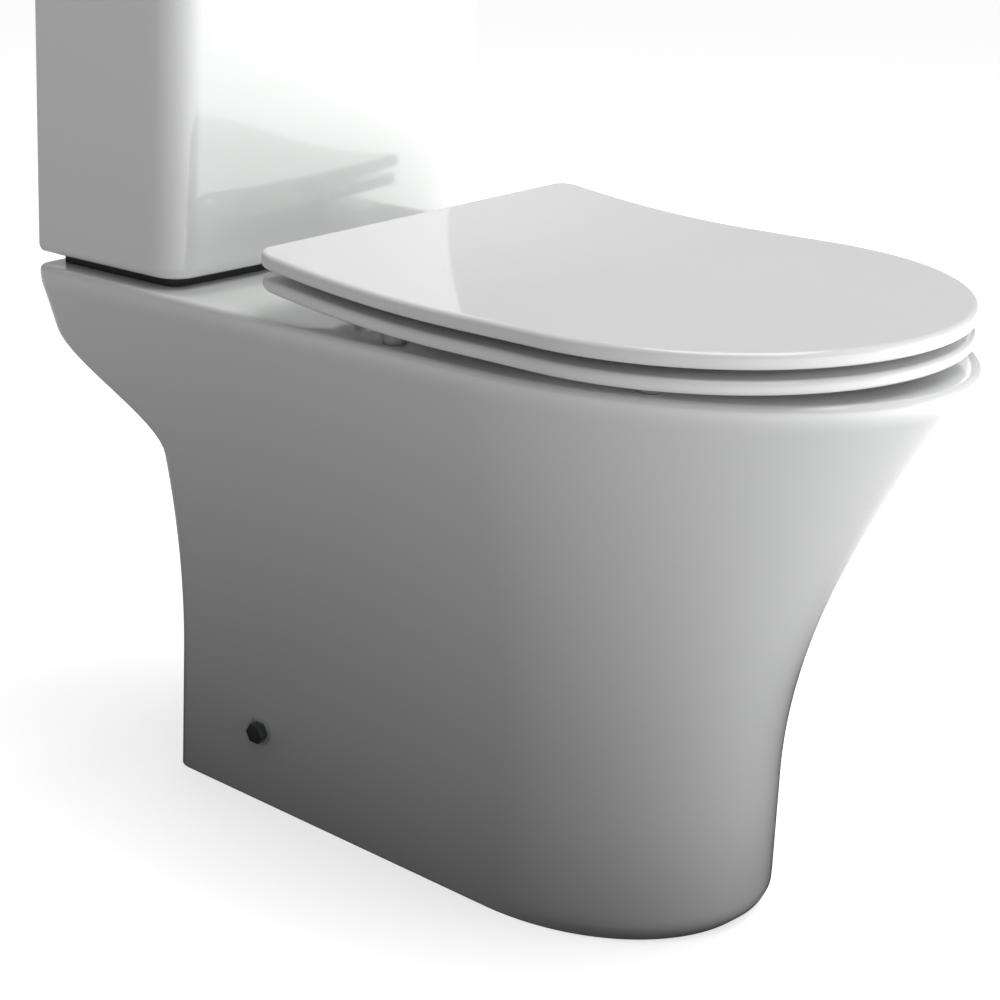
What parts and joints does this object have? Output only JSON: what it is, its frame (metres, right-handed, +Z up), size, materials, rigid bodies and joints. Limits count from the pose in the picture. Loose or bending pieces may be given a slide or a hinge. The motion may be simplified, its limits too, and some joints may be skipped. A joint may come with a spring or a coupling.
{
  "type": "close coupled toilet",
  "caption": "Close coupled toilet with a skirted pan, a cistern on the pan's platform, a slim hinged seat and lid, flush buttons, flush and fill valves and fixings.",
  "frame": {"origin": "on the floor, in the middle of the whole footprint", "axes": "+Z up, the front of the bowl faces -Y, the wall is at the +Y end, +X is to the right of someone who faces the wall"},
  "size_m": [0.37, 0.638, 0.787],
  "materials": {
    "glazed_ceramic": "white vitreous glaze",
    "seat_plastic": "gloss white moulded plastic",
    "chrome": "polished",
    "rubber": "moulded, matte",
    "white_buffer": "translucent grey buffer",
    "steel": "zinc plated",
    "brass": "turned",
    "valve_plastic": "moulded",
    "blue_plastic": "moulded",
    "cap_plastic": "satin dark grey"
  },
  "bodies": {
    "root": {"pan": "glazed_ceramic", "cistern_body": "glazed_ceramic", "cistern_gasket": "rubber", "hinge_posts": "chrome", "hinge_pins": "steel", "seat_bolts": "steel", "seat_washers": "rubber", "seat_wing_nuts": "valve_plastic", "floor_brackets": "steel", "side_screws": "steel", "side_screw_sleeves": "valve_plastic", "side_screw_caps": "cap_plastic", "coupling_plate": "steel", "coupling_bolts": "brass", "coupling_washers": "rubber", "coupling_wing_nuts": "brass", "flush_valve_body": "valve_plastic", "flush_valve_head": "blue_plastic", "flush_valve_washer": "rubber", "flush_valve_nut": "valve_plastic", "doughnut_washer": "rubber", "fill_valve_body": "valve_plastic", "fill_valve_washer": "rubber", "fill_valve_nut": "valve_plastic", "fill_valve_head": "blue_plastic", "float_arm_pin": "steel"},
    "seat": {"seat_ring": "seat_plastic", "seat_bumpers": "white_buffer", "seat_dampers": "valve_plastic"},
    "lid": {"seat_lid": "seat_plastic", "lid_bumpers": "white_buffer", "lid_dampers": "valve_plastic"},
    "cistern_cover": {"cistern_lid": "glazed_ceramic", "button_housing": "chrome", "button_nut": "valve_plastic"},
    "full_button": {"full_flush_button": "chrome", "full_push_rod": "blue_plastic"},
    "half_button": {"half_flush_button": "chrome", "half_push_rod": "valve_plastic"},
    "flush_piston": {"flush_valve_piston": "blue_plastic", "flush_valve_seal": "rubber"},
    "float": {"fill_float": "blue_plastic"},
    "float_lever": {"float_arm": "valve_plastic"}
  },
  "joints": [
    {"name": "seat_hinge", "type": "hinge", "parent": "root", "child": "seat", "pos_m": [0, 0.089, 0.4386], "axis": [-1, 0, 0], "range_deg": [0, 96]},
    {"name": "lid_hinge", "type": "hinge", "parent": "seat", "child": "lid", "pos_m": [0, 0.089, 0.4386], "axis": [1, 0, 0], "range_deg": [-100, 0]},
    {"name": "cistern_lid_lift", "type": "slide", "parent": "root", "child": "cistern_cover", "axis": [0, 0, 1], "range_m": [0, 0.15]},
    {"name": "full_flush_press", "type": "slide", "parent": "cistern_cover", "child": "full_button", "axis": [0, 0, -1], "range_m": [0, 0.005], "stiffness_N_per_m": 400, "springref_m": -0.002},
    {"name": "half_flush_press", "type": "slide", "parent": "cistern_cover", "child": "half_button", "axis": [0, 0, -1], "range_m": [0, 0.005], "stiffness_N_per_m": 400, "springref_m": -0.002},
    {"name": "flush_valve_lift", "type": "slide", "parent": "root", "child": "flush_piston", "axis": [0, 0, 1], "range_m": [0, 0.02]},
    {"name": "float_drop", "type": "slide", "parent": "root", "child": "float", "axis": [0, 0, -1], "range_m": [0, 0.01]},
    {"name": "float_arm_turn", "type": "hinge", "parent": "root", "child": "float_lever", "pos_m": [0.11, 0.245, 0.704], "axis": [0, -1, 0], "range_deg": [0, 24]}
  ],
  "couplings": [
    {"joint": "flush_valve_lift", "follows": "full_flush_press", "ratio": 4},
    {"joint": "float_arm_turn", "follows": "float_drop", "rad_per_m": 41.667}
  ]
}
